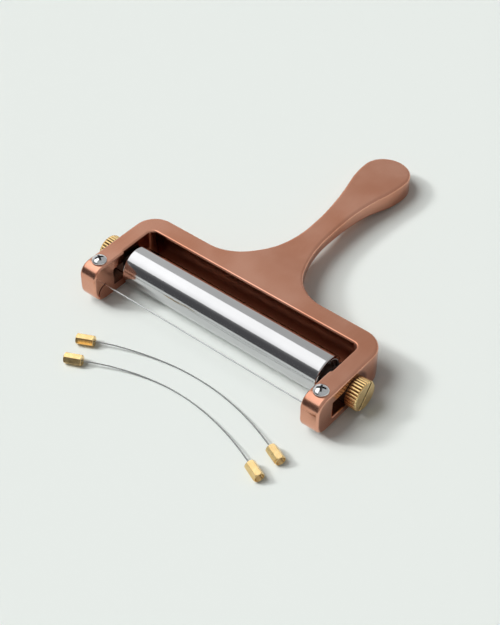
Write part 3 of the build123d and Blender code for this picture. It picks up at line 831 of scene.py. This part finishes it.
class SLICER_OT_studio(bpy.types.Operator):
    """Set the pale floor and the soft light"""
    bl_idname = "slicer.studio"
    bl_label = "Studio"

    def execute(self, context):
        colours, light = context.scene.slicer_colours, context.scene.slicer_light
        bm = bmesh.new()
        bmesh.ops.create_grid(bm, x_segments=8, y_segments=8, size=4.0)
        floor = bpy.data.objects.new("floor", to_mesh(bm, "floor"))
        context.scene.collection.objects.link(floor)
        f = new_finish("pale_floor")
        floor.data.materials.append(f.shade(Base_Color=tuple(colours.floor), Roughness=0.85))
        above = bpy.data.lights.new("softbox", "AREA")
        above.shape, above.energy = "RECTANGLE", light.softbox_power
        above.size, above.size_y = SOFTBOX_SIZE
        softbox = bpy.data.objects.new("softbox", above)
        softbox.location = SOFTBOX_PLACE
        softbox.visible_diffuse = False
        lamps = [softbox]
        for name, strength, source, spread in (
            ("key", light.key_strength, KEY_FROM, KEY_SPREAD),
            ("low_key", light.low_key_strength, LOW_KEY_FROM, LOW_KEY_SPREAD),
        ):
            slanted = bpy.data.lights.new(name, "SUN")
            slanted.energy, slanted.angle = strength, spread
            key = bpy.data.objects.new(name, slanted)
            key.rotation_mode = "QUATERNION"
            key.rotation_quaternion = Vector(source).to_track_quat("Z", "Y")
            key.visible_glossy = False
            lamps.append(key)
        for lamp in lamps:
            context.scene.collection.objects.link(lamp)
        # What the metal mirrors: brighter on the tool's left, with a dark sector on the viewer's left
        world = bpy.data.worlds.new("studio")
        context.scene.world = world
        w = Finish(world)
        direction = w.add("ShaderNodeTexCoord", output="Generated")
        toward = w.add("ShaderNodeVectorMath", {"operation": "DOT_PRODUCT"},
                       {0: direction, 1: Vector((-0.45, -0.85, -0.1)).normalized()}, "Value")
        dim = toward.above(0.25, 0.85)
        x = w.parts(direction)[0]
        around = w.mix((0 - x).above(0.25, 0.70), (0.46, 0.465, 0.46), (0.76, 0.77, 0.76))
        around = w.mix(dim, around, (0.10, 0.10, 0.105))
        soft = w.add("ShaderNodeLightPath", output="Is Diffuse Ray")
        seen = w.add("ShaderNodeLightPath", output="Is Camera Ray")
        level = w.mix(soft, around, (light.fill,) * 3)
        level = w.mix(seen, level, tuple(colours.floor))
        back = w.add("ShaderNodeBackground", {}, {"Color": level, "Strength": 1.0})
        w.add("ShaderNodeOutputWorld", {}, {"Surface": back})
        context.scene.view_settings.view_transform = "Standard"
        return {"FINISHED"}


class SLICER_PT_pieces(bpy.types.Panel):
    """Sizes, colours and pieces of the slicer"""
    bl_idname = "SLICER_PT_pieces"
    bl_label = "Cheese slicer"
    bl_space_type = "VIEW_3D"
    bl_region_type = "UI"
    bl_category = "Slicer"

    def draw(self, context):
        scene = context.scene
        for settings in (scene.slicer_sizes, scene.slicer_colours, scene.slicer_light):
            box = self.layout.box()
            for name in settings.__annotations__:
                box.prop(settings, name)
        for operator in OPERATORS:
            self.layout.operator(operator.bl_idname)


OPERATORS = (
    SLICER_OT_camera, SLICER_OT_spare_wires, SLICER_OT_casting, SLICER_OT_roller, SLICER_OT_guide_blocks,
    SLICER_OT_thumb_screws, SLICER_OT_wire_screws, SLICER_OT_wire_barrels, SLICER_OT_studio,
)
CLASSES = (SlicerSizes, SlicerColours, SlicerLight, *OPERATORS, SLICER_PT_pieces)


def register():
    for cls in CLASSES:
        bpy.utils.register_class(cls)
    bpy.types.Scene.slicer_sizes = PointerProperty(type=SlicerSizes)
    bpy.types.Scene.slicer_colours = PointerProperty(type=SlicerColours)
    bpy.types.Scene.slicer_light = PointerProperty(type=SlicerLight)


def unregister():
    del bpy.types.Scene.slicer_light, bpy.types.Scene.slicer_colours, bpy.types.Scene.slicer_sizes
    for cls in reversed(CLASSES):
        bpy.utils.unregister_class(cls)


def main():
    register()
    bpy.ops.slicer.camera()
    bpy.ops.slicer.spare_wires()
    bpy.ops.slicer.casting()
    bpy.ops.slicer.roller()
    bpy.ops.slicer.guide_blocks()
    bpy.ops.slicer.thumb_screws()
    bpy.ops.slicer.wire_screws()
    bpy.ops.slicer.wire_barrels()
    bpy.ops.slicer.studio()


if __name__ == "__main__":
    main()
